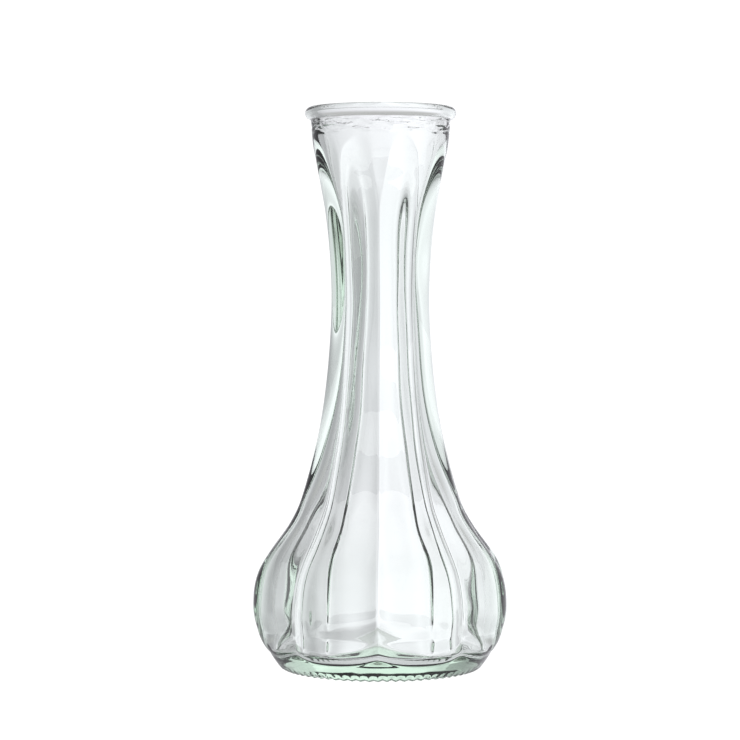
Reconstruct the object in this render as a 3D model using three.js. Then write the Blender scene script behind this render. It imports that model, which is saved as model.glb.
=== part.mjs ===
// Glass bud vase: a thick-walled soda-glass vase with a round bulb, a long fluted neck and a beaded rim.
// Eight convex lobes run from the foot to just under the rim. They meet in sharp creases, and each one
// dies into the plain round collar along a pointed arch.
//
// The real vase is one moulded piece. Its glass is modelled in four closed zones, parted on level planes:
// base, bulb, neck and rim. The zones meet face to face and never move.
//
// Millimetres, +Z up. The origin is the centre of the foot, on the surface that the vase stands on.
import * as THREE from 'three';

// ---- Driving dimensions ----
const HEIGHT = 160;
const RIM_RADIUS = 21.6;
const BEAD_RADIUS = 1.8; // the round bead that finishes the rim
const COLLAR_RADIUS = 20.05;
const COLLAR_TOP = HEIGHT - 2 * BEAD_RADIUS;
const MOUTH_RADIUS = 18.2;
const FOOT_RADIUS = 28.4; // outer edge of the ring that the vase stands on
const RING_WIDTH = 3;
const PUSH_UP = 1.6; // how far the underside is raised inside the standing ring
const FLOOR = 6; // edge of the inside floor, where the base zone meets the bulb zone
const DOME = 2.6; // how far the middle of the inside floor is raised above its edge
const DOME_TOP_RADIUS = 11; // the dome is level inside this radius
const DOME_EDGE_RADIUS = 24; // and it has fallen to the floor's edge at this one
const NECK_START = 60; // the bulb zone ends and the neck zone begins
const RIM_START = 150; // the neck zone ends and the rim zone begins

const LOBES = 8;
const STEPS_PER_LOBE = 8; // even, so that a step falls on each crease and on each lobe's middle
const SEGMENTS = LOBES * STEPS_PER_LOBE;
const HALF_LOBE = Math.PI / LOBES;

// The lobes' outer surface, from the foot to the collar: [height, radius at a lobe's middle, at a crease].
const LOBE_STATIONS = [
  [3, 29.8, 29.4],
  [6.4, 33.6, 31.9],
  [11, 36.1, 32.8],
  [19, 37.8, 32.9],
  [29, 36.0, 30.8],
  [41, 27.5, 24.1],
  [48, 23.9, 20.9],
  [64, 19.3, 17.1],
  [76, 17.0, 15.1],
  [91, 15.3, 13.8],
  [105, 14.65, 13.2],
  [118, 15.15, 13.6],
  [130, 16.45, 14.7],
  [138, 17.9, 16.0],
  [146, 19.35, 17.4],
  [RIM_START, 19.5, 17.8],
];

// The round surfaces that the lobes stand out of: the foot below them and the flared collar above.
const FOOT_STATIONS = [
  [0, FOOT_RADIUS],
  [1, 29.4],
  [4.6, 31.8],
  [6, 32.1],
  [8, 31.0],
];
const COLLAR_STATIONS = [
  [122, 13.6],
  [130, 14.95],
  [138, 16.8],
  [146, 18.8],
  [RIM_START, 19.5],
  [COLLAR_TOP, COLLAR_RADIUS],
];

// The inside: [height, mean radius, swing]. The swing is how far it follows the lobes in and out.
const INSIDE_STATIONS = [
  [FLOOR, 24.5, 0.5],
  [7, 28.3, 1.0],
  [9, 29.6, 1.2],
  [12, 29.8, 1.2],
  [18, 30.6, 1.5],
  [29, 29.0, 1.5],
  [41, 22.0, 1.2],
  [48, 19.4, 0.9],
  [61, 14.9, 0.6],
  [76, 11.8, 0.45],
  [91, 10.1, 0.35],
  [114, 8.9, 0.3],
  [130, 10.6, 0.25],
  [142, 13.6, 0.15],
  [RIM_START, 16.2, 0],
  [COLLAR_TOP, MOUTH_RADIUS, 0],
];

// ---- Surfaces ----

// Reads a smooth curve through a list of stations. A station is [height, value, ...], and column says
// which of its values is wanted.
function stationReader(stations) {
  const last = stations.length - 1;
  const slope = (k, column) => {
    const low = stations[Math.max(k - 1, 0)];
    const high = stations[Math.min(k + 1, last)];
    return (high[column] - low[column]) / (high[0] - low[0]);
  };
  return (z, column) => {
    const above = stations.findIndex((station) => station[0] > z);
    const i = above < 0 ? last - 1 : Math.max(above - 1, 0);
    const [start, end] = [stations[i], stations[i + 1]];
    const span = end[0] - start[0];
    const t = (z - start[0]) / span;
    const rise = end[column] - start[column];
    const leave = slope(i, column) * span;
    const arrive = slope(i + 1, column) * span;
    const bend = 3 * rise - 2 * leave - arrive + t * (leave + arrive - 2 * rise);
    return start[column] + t * (leave + t * bend);
  };
}

const readLobe = stationReader(LOBE_STATIONS);
const readFoot = stationReader(FOOT_STATIONS);
const readCollar = stationReader(COLLAR_STATIONS);
const readInside = stationReader(INSIDE_STATIONS);

// Radius of the round surface at a height, or 0 where the lobes cover it.
function roundRadius(z) {
  if (z <= FOOT_STATIONS.at(-1)[0]) return readFoot(z, 1);
  if (z >= COLLAR_STATIONS[0][0]) return readCollar(z, 1);
  return 0;
}

// Radius of the lobes at an azimuth. Each lobe is an arc of a circle whose centre lies off the axis, sized
// so that neighbouring arcs meet at the crease.
function lobeRadius(middle, crease, azimuth) {
  const fromMiddle = (azimuth % (2 * HALF_LOBE)) - HALF_LOBE;
  const centre = (middle ** 2 - crease ** 2) / (2 * (middle - crease * Math.cos(HALF_LOBE)));
  const arcRadius = middle - centre;
  const reach = Math.sqrt(arcRadius ** 2 - (centre * Math.sin(fromMiddle)) ** 2);
  return centre * Math.cos(fromMiddle) + reach;
}

// A ring of a zone's surface is its height and its radius as a function of azimuth.
function plainRing(radius, z) {
  return { z, radiusAt: () => radius };
}

function outerRing(z) {
  const round = roundRadius(z);
  if (z <= LOBE_STATIONS[0][0] || z >= RIM_START) return plainRing(round, z);
  const [middle, crease] = [readLobe(z, 1), readLobe(z, 2)];
  return { z, radiusAt: (azimuth) => Math.max(lobeRadius(middle, crease, azimuth), round) };
}

function innerRing(z) {
  const [mean, swing] = [readInside(z, 1), readInside(z, 2)];
  return { z, radiusAt: (azimuth) => mean - swing * Math.cos(LOBES * azimuth) };
}

// Heights from one level to another, both included, in even steps.
function levels(from, to, steps) {
  return Array.from({ length: steps + 1 }, (_, i) => from + ((to - from) * i) / steps);
}

// A lathe whose rings need not be round. They run up the outside and down the inside, and either start
// and end on the axis or come back to where they began.
function ringLathe(rings) {
  const profile = rings.map((ring) => new THREE.Vector2(ring.radiusAt(0), ring.z));
  const geometry = new THREE.LatheGeometry(profile, SEGMENTS);
  const position = geometry.attributes.position;
  for (let i = 0; i < position.count; i += 1) {
    const ring = rings[i % rings.length];
    const step = Math.floor(i / rings.length) % SEGMENTS;
    const azimuth = (2 * Math.PI * step) / SEGMENTS;
    const radius = ring.radiusAt(azimuth);
    position.setXYZ(i, radius * Math.cos(azimuth), radius * Math.sin(azimuth), ring.z);
  }
  geometry.computeVertexNormals();
  return geometry;
}

// ---- Zones ----

// Height of the inside floor at a radius. It is a low dome, where the base was pushed up in the mould.
function floorHeight(radius) {
  const out = (radius - DOME_TOP_RADIUS) / (DOME_EDGE_RADIUS - DOME_TOP_RADIUS);
  const t = Math.min(Math.max(out, 0), 1);
  return FLOOR + (DOME / 2) * (1 + Math.cos(Math.PI * t));
}

// The thick base: a standing ring, the raised underside inside it, and the domed inside floor on top.
function baseGeometry() {
  const ringInside = FOOT_RADIUS - RING_WIDTH;
  const outside = [0, 1, 2.4, 4, 5, FLOOR].map(outerRing);
  const domeRadii = [22, 19.5, 17, 14.5, DOME_TOP_RADIUS, 0];
  const dome = domeRadii.map((radius) => plainRing(radius, floorHeight(radius)));
  return ringLathe([
    plainRing(0, PUSH_UP),
    plainRing(ringInside - 2 * PUSH_UP, PUSH_UP),
    plainRing(ringInside, 0),
    ...outside,
    innerRing(FLOOR),
    ...dome,
  ]);
}

// A zone that is a tube: up its outside, then down its inside and back to the first ring.
function tubeGeometry(outerLevels, innerLevels) {
  const outside = outerLevels.map(outerRing);
  const inside = innerLevels.map(innerRing).reverse();
  return ringLathe([...outside, ...inside, outside[0]]);
}

function bulbGeometry() {
  const outerLevels = [FLOOR, 7.5, 9.5, 12, 15, 18.5, 22, 26, 30, 34, 39, 45, 52, NECK_START];
  const innerLevels = [FLOOR, 6.5, 7.2, 8.2, 10, 13, 17, 22, 27, 32, 38, 45, 52, NECK_START];
  return tubeGeometry(outerLevels, innerLevels);
}

function neckGeometry() {
  const archStart = 118; // the rings are closer together where the lobes die into the collar
  const outerLevels = [...levels(NECK_START, archStart, 6), ...levels(archStart, RIM_START, 12).slice(1)];
  return tubeGeometry(outerLevels, levels(NECK_START, RIM_START, 10));
}

// The plain collar and the round bead on top of it. The bead starts under its outer side and runs over
// the top to the mouth, in steps that fall on its widest and on its highest point.
function rimGeometry() {
  const beadStart = -0.4 * Math.PI;
  const beadSteps = 14;
  const bead = levels(beadStart, Math.PI, beadSteps).map((angle) => {
    const radius = RIM_RADIUS - BEAD_RADIUS + BEAD_RADIUS * Math.cos(angle);
    return plainRing(radius, HEIGHT - BEAD_RADIUS + BEAD_RADIUS * Math.sin(angle));
  });
  const outside = levels(RIM_START, COLLAR_TOP, 3).map(outerRing);
  const inside = levels(RIM_START, COLLAR_TOP, 2).map(innerRing).reverse();
  return ringLathe([...outside, ...bead, ...inside, outside[0]]);
}

// ---- Assembly ----

const GLASS = { roughness: 0.02, metalness: 0, transparent: true, opacity: 0.35 };

function zoneMesh(name, geometry, colour) {
  const mesh = new THREE.Mesh(geometry, new THREE.MeshStandardMaterial({ color: colour, ...GLASS }));
  mesh.name = name;
  return mesh;
}

const vase = new THREE.Group();
vase.add(
  zoneMesh('glass_base', baseGeometry(), 0xb9d2c4), // thick glass looks greener
  zoneMesh('glass_bulb', bulbGeometry(), 0xdde6e2),
  zoneMesh('glass_neck', neckGeometry(), 0xdde6e2),
  zoneMesh('glass_rim', rimGeometry(), 0xd3dedb),
);

export default vase;
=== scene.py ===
# %% [markdown]
# # A pressed glass bud vase
#
# This lesson makes one object: a small clear glass vase for a single stem. It has a round bulb, a long
# neck and a beaded rim. Eight rounded lobes run up its outside and meet in sharp creases.
#
# A real one is made in a single go. A gob of hot glass drops into an iron mould, air blows it out against
# the mould's wall, and the rim is finished by a ring that holds the neck. So the outside is crisp, because
# iron shaped it. The inside is soft and a little uneven, because only air touched it.
#
# The lesson follows that order: a plain thick tube is turned first, then it is pushed into its mould, and
# then it gets its glass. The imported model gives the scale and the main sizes.

# %% Load the frame
import math

import bmesh
import bpy
import numpy as np
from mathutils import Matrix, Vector


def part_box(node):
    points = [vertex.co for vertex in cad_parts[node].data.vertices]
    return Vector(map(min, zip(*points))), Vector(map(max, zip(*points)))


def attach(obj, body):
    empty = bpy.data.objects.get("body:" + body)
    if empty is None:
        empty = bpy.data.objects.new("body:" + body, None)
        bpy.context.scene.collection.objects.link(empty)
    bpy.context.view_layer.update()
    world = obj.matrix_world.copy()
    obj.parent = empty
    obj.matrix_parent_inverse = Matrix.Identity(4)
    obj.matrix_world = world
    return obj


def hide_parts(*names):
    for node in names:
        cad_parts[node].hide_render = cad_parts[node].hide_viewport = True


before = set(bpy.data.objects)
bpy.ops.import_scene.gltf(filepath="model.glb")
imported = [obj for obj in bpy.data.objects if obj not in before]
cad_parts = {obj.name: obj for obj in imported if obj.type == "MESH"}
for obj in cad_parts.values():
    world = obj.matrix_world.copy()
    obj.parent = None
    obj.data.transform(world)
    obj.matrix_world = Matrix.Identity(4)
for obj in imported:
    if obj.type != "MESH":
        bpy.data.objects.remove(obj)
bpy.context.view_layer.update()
print("The frame's nodes:", sorted(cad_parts))

# %% [markdown]
# ## Driving sizes
#
# The drawing of the vase is 160 units high, and a unit is a millimetre when the vase is full size. All
# heights and radii below are in those units. `UNIT` turns them into metres from the height of the packed
# model, so the vase follows the model if that grows or shrinks.

# %% Read the driving sizes from the frame
DRAWN_HEIGHT = 160
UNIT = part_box("glass_rim")[1].z / DRAWN_HEIGHT

RIM_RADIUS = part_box("glass_rim")[1].x / UNIT
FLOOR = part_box("glass_bulb")[0].z / UNIT
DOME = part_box("glass_base")[1].z / UNIT - FLOOR
DOME_TOP_RADIUS = 11  # the inside floor is level within this radius
DOME_EDGE_RADIUS = 24  # and it has fallen to its edge at this one
BEAD_RADIUS = 1.8
COLLAR_TOP = DRAWN_HEIGHT - 2 * BEAD_RADIUS
FOOT_RADIUS = 28.4
RING_WIDTH = 3
RING_INSIDE = FOOT_RADIUS - RING_WIDTH
PUSH_UP = 1.6
LOBES = 8
HALF_LOBE = math.pi / LOBES
SKIN = 0.14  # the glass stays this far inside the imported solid's faceted skin
print(f"One unit is {UNIT * 1000:.4f} mm, the rim's radius is {RIM_RADIUS:.2f}")
print(f"The inside floor is at {FLOOR:.2f} at its edge and {DOME:.2f} higher in the middle")

# %% [markdown]
# ## The mould's shape
#
# A vase like this is drawn as a few stations. Each is a height with the radii wanted there, and a smooth
# curve runs through them. The lobes need two radii at each height: one at a lobe's middle and one in the
# crease between two lobes. The foot, the collar and the inside are nearly round.

# %% Stations of the outside and of the inside
LOBE_STATIONS = [
    (3, 29.8, 29.4),
    (6.4, 33.6, 31.9),
    (11, 36.1, 32.8),
    (19, 37.8, 32.9),
    (29, 36.0, 30.8),
    (41, 27.5, 24.1),
    (48, 23.9, 20.9),
    (64, 19.3, 17.1),
    (76, 17.0, 15.1),
    (91, 15.3, 13.8),
    (105, 14.65, 13.2),
    (118, 15.15, 13.6),
    (130, 16.45, 14.7),
    (138, 17.9, 16.0),
    (146, 19.35, 17.4),
    (150, 19.5, 17.8),
]
FOOT_STATIONS = [(0, FOOT_RADIUS), (1, 29.4), (4.6, 31.8), (6, 32.1), (8, 31.0)]
COLLAR_STATIONS = [(122, 13.6), (130, 14.95), (138, 16.8), (146, 18.8), (150, 19.5), (COLLAR_TOP, 20.05)]

# height, mean radius, and how far the inside follows the lobes in and out
INSIDE_STATIONS = [
    (FLOOR, 24.5, 0.5),
    (7, 28.3, 1.0),
    (9, 29.6, 1.2),
    (12, 29.8, 1.2),
    (18, 30.6, 1.5),
    (29, 29.0, 1.5),
    (41, 22.0, 1.2),
    (48, 19.4, 0.9),
    (61, 14.9, 0.6),
    (76, 11.8, 0.45),
    (91, 10.1, 0.35),
    (114, 8.9, 0.3),
    (130, 10.6, 0.25),
    (142, 13.6, 0.15),
    (150, 16.2, 0),
    (COLLAR_TOP, 18.2, 0),
]


def read_stations(stations, height):
    """Reads every column of a list of stations at the given heights, along smooth curves."""
    table = np.array(stations, float)
    heights, values = table[:, 0], table[:, 1:]
    slopes = np.empty_like(values)
    slopes[1:-1] = (values[2:] - values[:-2]) / (heights[2:] - heights[:-2])[:, None]
    slopes[0] = (values[1] - values[0]) / (heights[1] - heights[0])
    slopes[-1] = (values[-1] - values[-2]) / (heights[-1] - heights[-2])
    start = np.clip(np.searchsorted(heights, height, side="right") - 1, 0, len(heights) - 2)
    span = (heights[start + 1] - heights[start])[:, None]
    t = np.clip((height - heights[start])[:, None] / span, 0, 1)
    rise = values[start + 1] - values[start]
    leave, arrive = slopes[start] * span, slopes[start + 1] * span
    bend = 3 * rise - 2 * leave - arrive + t * (leave + arrive - 2 * rise)
    return (values[start] + t * (leave + t * bend)).T


print("The outside has", len(LOBE_STATIONS), "stations and the inside has", len(INSIDE_STATIONS))

# %% [markdown]
# Each lobe is an arc of a circle whose centre lies off the axis, sized so that neighbouring arcs meet at
# the crease. Two shapes join by taking the larger radius of the two, softened a little, as polished iron
# leaves a crease sharp but never like a knife. Shallow grooves run round the collar under the bead, where
# the hot glass chilled against the neck ring. The bore follows the lobes only a little, and it leans.

# %% Radius of the outside and of the inside at any place
CREASE_SOFTNESS = 0.35
ARCH_SOFTNESS = 0.1
CHILL_LINES = (155.5, 154.3, 152.6)  # shallow crinkled grooves where the collar chilled in the neck ring
CHILL_DEPTH = 0.3
CHILL_WIDTH = 0.35
CHILL_WANDER = (0.3, 0.2)  # how far the grooves wander, in slow waves and in quick ones
WAIST = 112.0  # the height at which the bore is narrowest
BORE_LEAN = 0.5  # how far blowing has let the bore wander off the axis there, to +X
LEAN_REACH = 24.0  # this far above or below the waist, the lean has dropped to about a third


def soft_maximum(a, b, softness):
    """The larger of two radii, with a small fillet where they cross."""
    return (a + b + np.sqrt((a - b) ** 2 + softness**2)) / 2


def lobe_arc(middle, crease, from_middle):
    """Radius of one lobe's arc at an angle from the lobe's middle."""
    centre = (middle**2 - crease**2) / (2 * (middle - crease * math.cos(HALF_LOBE)))
    arc_radius = middle - centre
    reach = np.maximum(arc_radius**2 - (centre * np.sin(from_middle)) ** 2, 0)
    return centre * np.cos(from_middle) + np.sqrt(reach)


def chill_groove(azimuth, height):
    """Depth of the grooves under the rim. Each wanders up and down, and comes and goes on its way round."""
    depth = np.zeros_like(height)
    for i, line in enumerate(CHILL_LINES):
        wander = CHILL_WANDER[0] * np.sin(7 * azimuth + 2 * i) + CHILL_WANDER[1] * np.sin(17 * azimuth + i)
        fade = (1 + np.sin(5 * azimuth + 3 * i) * np.cos(12 * azimuth)) / 2
        depth += fade * np.exp(-(((height - line - wander) / CHILL_WIDTH) ** 2))
    return CHILL_DEPTH * depth


def outside_radius(azimuth, height):
    """Radius of the mould: the lobes, joined to the round foot below and the flared collar above."""
    middle, crease = read_stations(LOBE_STATIONS, height)
    from_middle = np.abs(azimuth % (2 * HALF_LOBE) - HALF_LOBE)
    lobe = lobe_arc(middle, crease, from_middle)
    neighbour = lobe_arc(middle, crease, 2 * HALF_LOBE - from_middle)
    lobes = soft_maximum(lobe, neighbour, CREASE_SOFTNESS)
    foot = read_stations(FOOT_STATIONS, height)[0]
    collar = read_stations(COLLAR_STATIONS, height)[0]
    lowest_lobe, top_lobe = LOBE_STATIONS[0][0], LOBE_STATIONS[-1][0]
    radius = np.where(height > lowest_lobe, lobes, 0)
    radius = np.where(height < FOOT_STATIONS[-1][0], soft_maximum(radius, foot, ARCH_SOFTNESS), radius)
    radius = np.where(height > COLLAR_STATIONS[0][0], soft_maximum(radius, collar, ARCH_SOFTNESS), radius)
    radius = np.where(height <= lowest_lobe, foot, radius)
    radius = np.where(height >= top_lobe, collar, radius)
    return radius - chill_groove(azimuth, height) - SKIN


def inside_radius(azimuth, height):
    """Radius of the blown inside, which follows the lobes a little and leans to one side at the waist."""
    mean, swing = read_stations(INSIDE_STATIONS, height)
    lean = BORE_LEAN * np.exp(-(((height - WAIST) / LEAN_REACH) ** 2))
    return mean - swing * np.cos(LOBES * azimuth) + lean * np.sin(azimuth)


for drawn_height in (19, 64, 105):
    at = np.full(2, float(drawn_height))
    around = np.array([0, HALF_LOBE])
    wall = outside_radius(around, at) - inside_radius(around, at)
    print(f"At {drawn_height} the wall is {wall[0]:.1f} thick in a crease and {wall[1]:.1f} in a lobe")

# %% [markdown]
# ## Turning the blank
#
# The vase is round before it is lobed, so its section is drawn first, as a line of single vertices, and
# spun about the axis. The section starts as a plane merged to one vertex, and grows by extruding that
# vertex. The outer wall is drawn straight up at the foot's radius and the bore straight down at the
# `BORE` radius. The mould shapes both afterwards, and a vertex's radius tells it which wall it is on.

# %% Draw the section
BORE = 12.0
STEPS_AROUND = 288  # 36 in each lobe, and 4 in each rib of the foot

# up to each height, how many steps the wall is drawn in: closer where the shape turns faster
OUTER_STEPS = [(12, 32), (34, 28), (112, 56), (151, 58), (COLLAR_TOP, 24)]
BORE_STEPS = [(110, 30), (13, 60), (FLOOR + 0.15, 18)]  # the same downwards, for the bore


def deselect_everything():
    """Leaves nothing selected, so that the next operator acts on its own piece only."""
    if bpy.context.object and bpy.context.object.mode != "OBJECT":
        bpy.ops.object.mode_set(mode="OBJECT")
    bpy.ops.object.select_all(action="DESELECT")


def stretch(start, end, steps):
    """Points from one (radius, height) to another, evenly spaced, without the first."""
    return [tuple(np.array(start) + (np.array(end) - start) * (i + 1) / steps) for i in range(steps)]


def arc(centre, radius, from_angle, to_angle, steps):
    """Points on an arc of the section, from one angle to another in degrees."""
    turns = np.radians(np.linspace(from_angle, to_angle, steps))
    return [(centre[0] + radius * math.cos(turn), centre[1] + radius * math.sin(turn)) for turn in turns]


def floor_height(radius):
    """Height of the inside floor, a low dome that is level in the middle and falls to the floor's edge."""
    out = np.clip((radius - DOME_TOP_RADIUS) / (DOME_EDGE_RADIUS - DOME_TOP_RADIUS), 0, 1)
    return FLOOR + DOME * (1 + math.cos(math.pi * out)) / 2


def section_points():
    """The whole section as (radius, height): underside, outer wall, bead, bore and inside floor."""
    underside = [(8, PUSH_UP), (16, PUSH_UP - 0.05), (21, PUSH_UP - 0.2), (23.2, 0.95), (24.4, 0.35)]
    ring = stretch((RING_INSIDE - 0.4, 0.06), (FOOT_RADIUS - 0.5, 0.0), 5)
    shoulder = [(FOOT_RADIUS - 0.2, 0.15)]
    outer = [(FOOT_RADIUS, 0.3)]
    for height, steps in OUTER_STEPS:
        outer += stretch(outer[-1], (FOOT_RADIUS, height), steps)
    bead_centre = (RIM_RADIUS - BEAD_RADIUS - SKIN / 2, DRAWN_HEIGHT - BEAD_RADIUS)
    bead = arc(bead_centre, BEAD_RADIUS, -72, 180, 20)
    bore = [(BORE, COLLAR_TOP)]
    for height, steps in BORE_STEPS:
        bore += stretch(bore[-1], (BORE, height), steps)
    floor = [(radius, floor_height(radius)) for radius in np.linspace(23.5, 0.5, 24)]
    centre = [(0, floor_height(0))]
    return underside + ring + shoulder + outer + bead + bore + floor + centre


def draw_section(name, start, points):
    """Draws a line of vertices in the XZ plane, from a start point through all the others."""
    deselect_everything()
    at = Vector((start[0], 0, start[1])) * UNIT
    bpy.ops.mesh.primitive_plane_add(size=UNIT, location=at)
    piece = bpy.context.object
    piece.name = name
    bpy.ops.object.transform_apply()
    bpy.ops.object.mode_set(mode="EDIT")
    bpy.ops.mesh.select_all(action="SELECT")
    bpy.ops.mesh.merge(type="CENTER")
    for radius, height in points:
        to = Vector((radius, 0, height)) * UNIT
        bpy.ops.mesh.extrude_region_move(TRANSFORM_OT_translate={"value": to - at})
        at = to
    return piece


vase = draw_section("glass_vase", (0, PUSH_UP), section_points())
print("The section has", len(section_points()) + 1, "points")

# %% [markdown]
# Spin copies the section round the axis. Its first and last copy coincide, and so do all copies of the two
# points on the axis, so doubles are merged. Spin can also leave a shape inside out, so the normals are
# turned outwards once it is whole.

# %% Spin the section into a closed blank
bpy.ops.mesh.select_all(action="SELECT")
bpy.ops.mesh.spin(steps=STEPS_AROUND, angle=2 * math.pi, center=(0, 0, 0), axis=(0, 0, 1))
bpy.ops.mesh.select_all(action="SELECT")
bpy.ops.mesh.remove_doubles(threshold=UNIT / 1000)
bpy.ops.mesh.normals_make_consistent(inside=False)
bpy.ops.object.mode_set(mode="OBJECT")
print("The blank has", len(vase.data.vertices), "vertices and", len(vase.data.polygons), "faces")

# %% [markdown]
# ## Pushing the blank into its mould
#
# No operator turns a round wall into eight arcs that swell, shrink and die into a collar, so this step is
# done with numbers: each vertex keeps its height and azimuth, and is given the mould's radius there.
#
# The inside gets a slow, shallow waviness as well. It is what makes light wander in blown glass.

# %% Push both walls to their radii
WAVINESS = 0.12
SWELLS = [(1, 0.05), (2, 0.09), (3, 0.16), (5, 0.12), (2, 0.30), (4, 0.22)]  # waves around, radians up
ON_WALL = 0.01  # a vertex this close to a wall's drawn radius belongs to that wall
FLOOR_FADE = 6  # the waviness dies away over this height above the floor


def waviness(azimuth, height):
    """A slow uneven swell, the sum of a few waves that run round and up the vase."""
    chance = np.random.default_rng(4)
    swell = np.zeros_like(height)
    for around, up in SWELLS:
        turn, lift = chance.uniform(0, 2 * math.pi, 2)
        swell += np.cos(around * azimuth + turn) * np.cos(up * height + lift)
    return WAVINESS * swell / math.sqrt(len(SWELLS))


def read_places(piece):
    """Azimuth, radius and height of every vertex. The azimuth is 0 towards -Y, where a crease is."""
    places = np.empty(len(piece.data.vertices) * 3)
    piece.data.vertices.foreach_get("co", places)
    x, y, z = places.reshape(-1, 3).T / UNIT
    return np.arctan2(x, -y), np.hypot(x, y), z


def write_places(piece, azimuth, radius, height):
    """Puts every vertex at its azimuth, radius and height."""
    places = np.stack((radius * np.sin(azimuth), -radius * np.cos(azimuth), height), axis=1) * UNIT
    piece.data.vertices.foreach_set("co", places.ravel())
    piece.data.update()


azimuth, radius, height = read_places(vase)
on_outer_wall = (np.abs(radius - FOOT_RADIUS) < ON_WALL) & (height > 0.2)
on_bore = np.abs(radius - BORE) < ON_WALL
fade_at_floor = np.clip((height - FLOOR) / FLOOR_FADE, 0, 1)
radius = np.where(on_outer_wall, outside_radius(azimuth, height), radius)
bore_radius = inside_radius(azimuth, height) + waviness(azimuth, height) * fade_at_floor
radius = np.where(on_bore, bore_radius, radius)
print("Shaped", int(on_outer_wall.sum()), "vertices outside and", int(on_bore.sum()), "inside")

# %% [markdown]
# ## The standing ring
#
# A glass vase stands on a ribbed ring. The ribs keep the hot foot off the conveyor, and later they hide
# the scuffs of use. Seen through the base they twinkle as a dotted line. Each rib is a low radial ridge
# that turns up round the ring's outer edge. They are the high places left between hollows pressed into the
# ring, and wear has left some of them lower than others.

# %% Press the ribs into the standing ring
RIBS = 72
RIB_DEPTH = 0.45
RIB_TOP = 1.8  # the ribs run this far up the outer edge of the ring
RIB_WEAR = 0.25  # uneven wear takes up to twice this share off a rib's depth
EDGE_WIDTH = 0.6  # the outer edge of the ring is this wide
RIB_INWARDS = 0.8  # how far the outer edge is pressed in, as a share of the depth


def rib_depth(azimuth, radius, height):
    """How deep the glass is pressed between the ribs. They fade out inside the ring and up its edge."""
    inwards = np.clip(radius - (RING_INSIDE - 0.5), 0, 1)
    upwards = np.clip(1 - height / RIB_TOP, 0, 1)
    wear = 1 - RIB_WEAR + RIB_WEAR * np.sin(13 * azimuth) * np.sin(5 * azimuth + 1)
    return RIB_DEPTH * wear * inwards * upwards * (1 - np.cos(RIBS * azimuth)) / 2


depth = rib_depth(azimuth, radius, height)
on_edge = radius > FOOT_RADIUS - EDGE_WIDTH
height = height + depth
radius = np.where(on_edge, radius - depth * RIB_INWARDS, radius)
write_places(vase, azimuth, radius, height)
print("Pressed", RIBS, "ribs into", int((depth > 0).sum()), "vertices")

# %% Shade the vase smooth
deselect_everything()
vase.select_set(True)
bpy.context.view_layer.objects.active = vase
bpy.ops.object.shade_smooth()
check = bmesh.new()
check.from_mesh(vase.data)
open_edges = sum(not edge.is_manifold for edge in check.edges)
volume = check.calc_volume(signed=True)
check.free()
print(f"The glass has {open_edges} open edges and a volume of {volume * 1e6:.1f} cubic centimetres")

# %% [markdown]
# ## The glass
#
# Clear soda glass has hardly any colour of its own. A trace of iron makes it green where light runs a long
# way through it, as in the base. So the colour is put in the volume: the light loses a little more red
# and blue than green on its way. The surface itself is white, smooth and fully transmissive.
#
# Two effects are laid over that. Blown glass has a faint ripple all over, and crinkles where it chilled
# against the cold neck ring under the rim. Both are groups that put out a height for the Bump node.


# %% A group for the chill crinkles and the blown ripple
def add_group_socket(group, name, direction, kind, value=None):
    """Adds a named input or output to a shader node group."""
    socket = group.interface.new_socket(name=name, in_out=direction, socket_type=kind)
    if value is not None:
        socket.default_value = value


def math_node(tree, operation, first, second=None, clamp=False):
    """Adds a Math node. Its inputs are sockets or numbers, and it returns its output."""
    node = tree.nodes.new("ShaderNodeMath")
    node.operation = operation
    node.use_clamp = clamp
    for socket, value in zip(node.inputs, (first, second)):
        if isinstance(value, bpy.types.NodeSocket):
            tree.links.new(value, socket)
        elif value is not None:
            socket.default_value = value
    return node.outputs[0]


def noise(tree, place, scale, detail, stretch_up):
    """Adds a Noise texture. A stretch_up below 1 draws the pattern out upwards, and above 1 sideways."""
    mapping = tree.nodes.new("ShaderNodeMapping")
    mapping.inputs["Scale"].default_value = (1, 1, stretch_up)
    tree.links.new(place, mapping.inputs["Vector"])
    texture = tree.nodes.new("ShaderNodeTexNoise")
    texture.inputs["Scale"].default_value = scale
    texture.inputs["Detail"].default_value = detail
    tree.links.new(mapping.outputs["Vector"], texture.inputs["Vector"])
    return texture.outputs["Fac"]


def ripple_group():
    """A height from 0 to 1: a slow ripple, with finer crinkles in one band of heights."""
    group = bpy.data.node_groups.new("blown_ripple", "ShaderNodeTree")
    add_group_socket(group, "Place", "INPUT", "NodeSocketVector")
    add_group_socket(group, "Crinkle Height", "INPUT", "NodeSocketFloat", 0.15)
    add_group_socket(group, "Crinkle Reach", "INPUT", "NodeSocketFloat", 0.003)
    add_group_socket(group, "Crinkle Amount", "INPUT", "NodeSocketFloat", 1.0)
    add_group_socket(group, "Height", "OUTPUT", "NodeSocketFloat")
    entry = group.nodes.new("NodeGroupInput")
    leave = group.nodes.new("NodeGroupOutput")
    place = entry.outputs["Place"]
    slow = noise(group, place, scale=60, detail=1, stretch_up=0.35)
    crinkle = noise(group, place, scale=420, detail=2, stretch_up=2.2)
    split = group.nodes.new("ShaderNodeSeparateXYZ")
    group.links.new(place, split.inputs[0])
    away = math_node(group, "SUBTRACT", split.outputs["Z"], entry.outputs["Crinkle Height"])
    distance = math_node(group, "ABSOLUTE", away)
    near = math_node(group, "DIVIDE", distance, entry.outputs["Crinkle Reach"])
    band = math_node(group, "SUBTRACT", 1.0, near, clamp=True)
    crinkled = math_node(group, "MULTIPLY", crinkle, band)
    amount = math_node(group, "MULTIPLY", crinkled, entry.outputs["Crinkle Amount"])
    total = math_node(group, "ADD", slow, amount)
    group.links.new(total, leave.inputs["Height"])
    return group


blown_ripple = ripple_group()
print("Made the group", blown_ripple.name)

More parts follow.
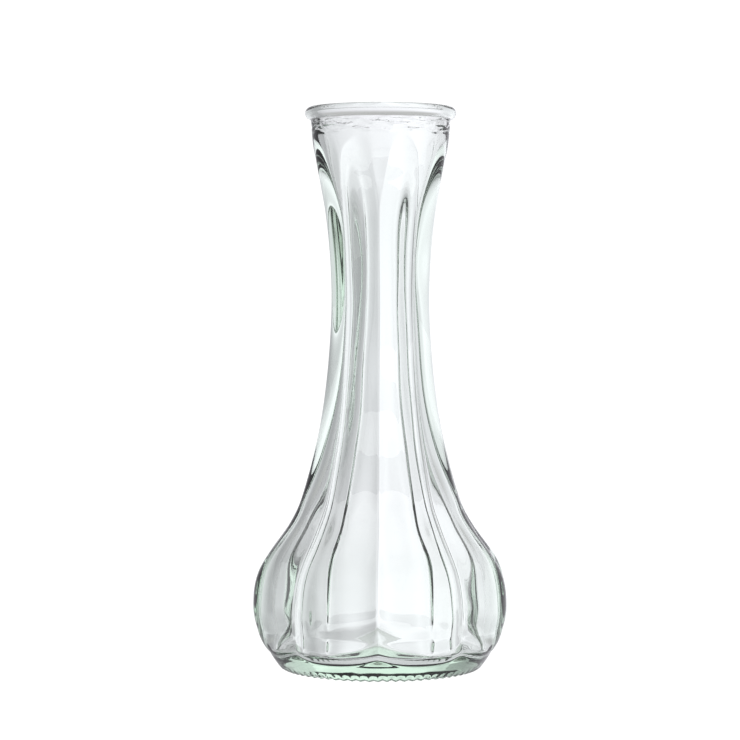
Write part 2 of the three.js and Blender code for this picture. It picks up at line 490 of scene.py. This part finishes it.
# %% A group for the scuffed foot
SCUFF_TOP = 0.6  # the scuffs end this far above the table


def scuff_group():
    """A mask of fine scuffs on the standing ring. It fades out just above the foot."""
    group = bpy.data.node_groups.new("foot_scuffs", "ShaderNodeTree")
    add_group_socket(group, "Place", "INPUT", "NodeSocketVector")
    add_group_socket(group, "Top", "INPUT", "NodeSocketFloat", 0.0006)
    add_group_socket(group, "Mask", "OUTPUT", "NodeSocketFloat")
    entry = group.nodes.new("NodeGroupInput")
    leave = group.nodes.new("NodeGroupOutput")
    split = group.nodes.new("ShaderNodeSeparateXYZ")
    group.links.new(entry.outputs["Place"], split.inputs[0])
    raised = math_node(group, "DIVIDE", split.outputs["Z"], entry.outputs["Top"])
    low = math_node(group, "SUBTRACT", 1.0, raised, clamp=True)
    speckle = noise(group, entry.outputs["Place"], scale=900, detail=3, stretch_up=1)
    mask = math_node(group, "MULTIPLY", low, speckle)
    group.links.new(mask, leave.inputs["Mask"])
    return group


foot_scuffs = scuff_group()
print("Made the group", foot_scuffs.name)

# %% The clear glass material
GREEN_TRACE = (0.56, 0.88, 0.61, 1)
GREEN_DENSITY = 13
GLASS_IOR = 1.5
CRINKLE_HEIGHT = 154.6  # the crinkles are strongest here, in the middle of the grooves under the bead
CRINKLE_REACH = 2.6
CRINKLE_AMOUNT = 1.2
RIPPLE_DEPTH = 0.15
RIPPLE_STRENGTH = 0.6
SCUFF_ROUGHNESS = 0.5


def clear_glass():
    """Clear soda glass with an iron-green body, a blown ripple and a scuffed foot."""
    material = bpy.data.materials.new("clear_soda_glass")
    material.use_nodes = True
    tree = material.node_tree
    surface = tree.nodes["Principled BSDF"]
    surface.inputs["Base Color"].default_value = (1, 1, 1, 1)
    surface.inputs["IOR"].default_value = GLASS_IOR
    surface.inputs["Transmission Weight"].default_value = 1
    body = tree.nodes.new("ShaderNodeVolumeAbsorption")
    body.inputs["Color"].default_value = GREEN_TRACE
    body.inputs["Density"].default_value = GREEN_DENSITY
    tree.links.new(body.outputs["Volume"], tree.nodes["Material Output"].inputs["Volume"])

    place = tree.nodes.new("ShaderNodeTexCoord").outputs["Object"]
    ripple = tree.nodes.new("ShaderNodeGroup")
    ripple.node_tree = blown_ripple
    ripple.inputs["Crinkle Height"].default_value = CRINKLE_HEIGHT * UNIT
    ripple.inputs["Crinkle Reach"].default_value = CRINKLE_REACH * UNIT
    ripple.inputs["Crinkle Amount"].default_value = CRINKLE_AMOUNT
    bump = tree.nodes.new("ShaderNodeBump")
    bump.inputs["Distance"].default_value = RIPPLE_DEPTH * UNIT
    bump.inputs["Strength"].default_value = RIPPLE_STRENGTH
    tree.links.new(place, ripple.inputs["Place"])
    tree.links.new(ripple.outputs["Height"], bump.inputs["Height"])
    tree.links.new(bump.outputs["Normal"], surface.inputs["Normal"])

    scuffs = tree.nodes.new("ShaderNodeGroup")
    scuffs.node_tree = foot_scuffs
    scuffs.inputs["Top"].default_value = SCUFF_TOP * UNIT
    tree.links.new(place, scuffs.inputs["Place"])
    roughness = math_node(tree, "MULTIPLY", scuffs.outputs["Mask"], SCUFF_ROUGHNESS)
    tree.links.new(roughness, surface.inputs["Roughness"])
    return material


vase.data.materials.clear()
vase.data.materials.append(clear_glass())
print("The vase wears", vase.data.materials[0].name)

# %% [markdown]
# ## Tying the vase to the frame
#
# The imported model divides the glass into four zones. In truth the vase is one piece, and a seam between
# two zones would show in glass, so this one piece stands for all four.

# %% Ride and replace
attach(vase, "root")
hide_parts("glass_base", "glass_bulb", "glass_neck", "glass_rim")
print("The vase stands for", sorted(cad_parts))

# %% [markdown]
# ## The light
#
# Glass shows what stands behind and beside it. A soft pale screen goes all the way round. It is bright
# straight behind the vase and behind the viewer, and dimmer at the left than at the right, so the lobes
# draw themselves in deeper greys on the left. Its brightness is a list of stops by direction round the
# vase, chosen by trying until the greys in the glass were right. Above the screen the room is dim. Where
# the screen is seen directly, and not through the glass, it is replaced by a plain even backdrop.

# %% The screen's brightness by direction
SCREEN_STOPS = [
    (-180, 1),
    (-140, 0.95),
    (-110, 0.75),
    (-90, 0.7),
    (-72, 0.5),
    (-58, 0.4),
    (-44, 0.38),
    (-32, 0.44),
    (-22, 0.56),
    (-12, 0.71),
    (-5, 0.83),
    (0, 0.96),
    (5, 1.06),
    (12, 1),
    (24, 0.87),
    (34, 0.79),
    (48, 0.8),
    (62, 0.8),
    (76, 0.6),
    (90, 0.7),
    (110, 0.75),
    (140, 0.95),
    (180, 1),
]  # degrees from straight behind the vase, positive to the right, and brightness
# FOOT_STOPS is painted shade: the table's glow close round the foot is set darker in place of the vase's
# shade
FOOT_STOPS = [
    (-180, 0.7),
    (-90, 0.6),
    (-60, 0.42),
    (-30, 0.4),
    (-18, 0.5),
    (-10, 0.62),
    (-4, 0.88),
    (0, 1),
    (6, 1.08),
    (14, 1),
    (24, 0.85),
    (36, 0.75),
    (60, 0.7),
    (90, 0.6),
    (180, 0.7),
]  # the same for the table close round the foot, set darker there as a painted shade of the vase
DIM_ABOVE = (0.22, 0.45)  # sine of the elevation where the screen starts and ends fading
DIM_TOP = 0.5  # brightness of the room above the screen
BACKDROP = 1.1  # brightness of the even backdrop that is seen directly
COOLNESS = 1.05  # the screen's light is a trace blue


def spread(tree, value, low, high):
    """Maps a value from low..high to 0..1."""
    node = tree.nodes.new("ShaderNodeMapRange")
    node.inputs["From Min"].default_value = low
    node.inputs["From Max"].default_value = high
    tree.links.new(value, node.inputs["Value"])
    return node.outputs["Result"]


def glow_by_direction(tree, aside, ahead, stops):
    """The brightness in a direction, given how far it goes to the right and to the back."""
    turn = math_node(tree, "ARCTAN2", aside, ahead)
    ramp = tree.nodes.new("ShaderNodeValToRGB")
    elements = ramp.color_ramp.elements
    elements.remove(elements[1])
    for i, (degrees, grey) in enumerate(stops):
        position = (degrees + 180) / 360
        element = elements[0] if i == 0 else elements.new(position)
        element.position = position
        element.color = (grey, grey, grey * COOLNESS, 1)
    tree.links.new(spread(tree, turn, -math.pi, math.pi), ramp.inputs["Fac"])
    return ramp.outputs["Color"]


def mix_colour(tree, factor, first, second):
    """Mixes two colours. Each is a socket or a grey."""
    node = tree.nodes.new("ShaderNodeMix")
    node.data_type = "RGBA"
    tree.links.new(factor, node.inputs["Factor"])
    for socket, value in zip(node.inputs[6:8], (first, second)):  # the two inputs for colours
        if isinstance(value, bpy.types.NodeSocket):
            tree.links.new(value, socket)
        else:
            socket.default_value = (value, value, value, 1)
    return node.outputs[2]  # the output for colours


print("The screen has", len(SCREEN_STOPS), "stops")


# %% The soft studio surround
def build_surround():
    """A world whose brightness depends on the direction, and which is plain white where it is seen."""
    world = bpy.data.worlds.new("studio_surround")
    world.use_nodes = True
    tree = world.node_tree
    tree.nodes.clear()
    direction = tree.nodes.new("ShaderNodeTexCoord").outputs["Generated"]
    split = tree.nodes.new("ShaderNodeSeparateXYZ")
    tree.links.new(direction, split.inputs[0])
    screen = glow_by_direction(tree, split.outputs["X"], split.outputs["Y"], SCREEN_STOPS)
    raised = spread(tree, split.outputs["Z"], *DIM_ABOVE)
    room = mix_colour(tree, raised, screen, DIM_TOP)
    seen = tree.nodes.new("ShaderNodeLightPath").outputs["Is Camera Ray"]
    background = tree.nodes.new("ShaderNodeBackground")
    tree.links.new(mix_colour(tree, seen, room, BACKDROP), background.inputs["Color"])
    output = tree.nodes.new("ShaderNodeOutputWorld")
    tree.links.new(background.outputs["Background"], output.inputs["Surface"])
    return world


LIGHT_BOUNCES = 32  # light crosses many walls of glass before it gets out again
bpy.context.scene.world = build_surround()
bpy.context.scene.view_settings.view_transform = "Standard"
bpy.context.scene.cycles.max_bounces = LIGHT_BOUNCES
bpy.context.scene.cycles.transmission_bounces = LIGHT_BOUNCES
print("The surround is", bpy.context.scene.world.name)

# %% [markdown]
# ## The table
#
# A pale matt table. Glass shows what is round it, so the light that the table sends through the base
# matters more than its own look. The table gives off that light itself. It follows the screen's stops, so
# the two meet without an edge at the horizon. Close round the foot it follows a list of its own, mostly
# darker, that stands for the vase's own shade. Seen directly the table is one even tone.

# %% A plain pale table
TABLE_RADIUS = 3.0
TABLE_DROP = 0.0002  # the table is this far under the foot, so that the two never share a plane
TABLE_TONE = 1.05  # brightness of the table where it is seen directly
TABLE_GREY = 0.1  # its own colour is dark, because its glow stands in for the light it would throw back
TABLE_FOCUS = 0.15  # the table's painted light fans out from a point this far before the vase
FOOT_FOCUS = 0.02  # the same for the painted shade close round the foot
SHADED_REACH = (0.05, 0.14)  # distance from the vase's axis where the painted shade starts and ends fading


def table_material():
    """A matt pale surface with painted light: it glows towards the glass by direction, with painted shade
    close round the foot, and evenly where it is seen.
    """
    material = bpy.data.materials.new("pale_table")
    material.use_nodes = True
    tree = material.node_tree
    surface = tree.nodes["Principled BSDF"]
    surface.inputs["Base Color"].default_value = (TABLE_GREY, TABLE_GREY, TABLE_GREY, 1)
    surface.inputs["Roughness"].default_value = 0.9
    surface.inputs["Specular IOR Level"].default_value = 0.2
    place = tree.nodes.new("ShaderNodeTexCoord").outputs["Object"]
    split = tree.nodes.new("ShaderNodeSeparateXYZ")
    tree.links.new(place, split.inputs[0])
    # painted light: the table glows towards the glass by the screen's stops
    ahead = math_node(tree, "ADD", split.outputs["Y"], TABLE_FOCUS)
    open_glow = glow_by_direction(tree, split.outputs["X"], ahead, SCREEN_STOPS)
    # painted shade: close round the foot the glow follows the darker FOOT_STOPS
    ahead_of_foot = math_node(tree, "ADD", split.outputs["Y"], FOOT_FOCUS)
    shaded_glow = glow_by_direction(tree, split.outputs["X"], ahead_of_foot, FOOT_STOPS)
    length = tree.nodes.new("ShaderNodeVectorMath")
    length.operation = "LENGTH"
    tree.links.new(place, length.inputs[0])
    away = spread(tree, length.outputs["Value"], *SHADED_REACH)
    glow = mix_colour(tree, away, shaded_glow, open_glow)
    seen = tree.nodes.new("ShaderNodeLightPath").outputs["Is Camera Ray"]
    tree.links.new(mix_colour(tree, seen, glow, TABLE_TONE), surface.inputs["Emission Color"])
    surface.inputs["Emission Strength"].default_value = 1
    return material


deselect_everything()
bpy.ops.mesh.primitive_circle_add(
    vertices=96,
    radius=TABLE_RADIUS,
    fill_type="NGON",
    location=(0, 0, -TABLE_DROP),
)
table = bpy.context.object
table.name = "table"
bpy.ops.object.transform_apply()
table.data.materials.append(table_material())
print("The table is", 2 * TABLE_RADIUS, "m across")

# %% [markdown]
# ## The camera
#
# The camera stands about two thirds of a metre away, at the height of the neck, and looks down a little.
# The vase is turned by a degree and a half, so the camera walks that far round it.

# %% Place the camera
CAMERA_DISTANCE = 0.68
CAMERA_HEIGHT = 0.108
CAMERA_TURN = math.radians(1.4)
FRAME_WIDTH = 0.2114286  # how many metres of the world the picture takes in at the vase
AIM_DOWN = math.radians(1.928)
AIM_ASIDE = math.radians(0.2553)
SENSOR = 36.0

deselect_everything()
bpy.ops.object.camera_add(
    location=(
        CAMERA_DISTANCE * math.sin(CAMERA_TURN),
        -CAMERA_DISTANCE * math.cos(CAMERA_TURN),
        CAMERA_HEIGHT,
    ),
    rotation=(math.pi / 2 - AIM_DOWN, 0, CAMERA_TURN + AIM_ASIDE),
)
camera = bpy.context.object
camera.name = "camera"
camera.data.sensor_width = SENSOR
camera.data.lens = SENSOR * CAMERA_DISTANCE / FRAME_WIDTH
bpy.context.scene.camera = camera
print(f"The lens is {camera.data.lens:.0f} mm")
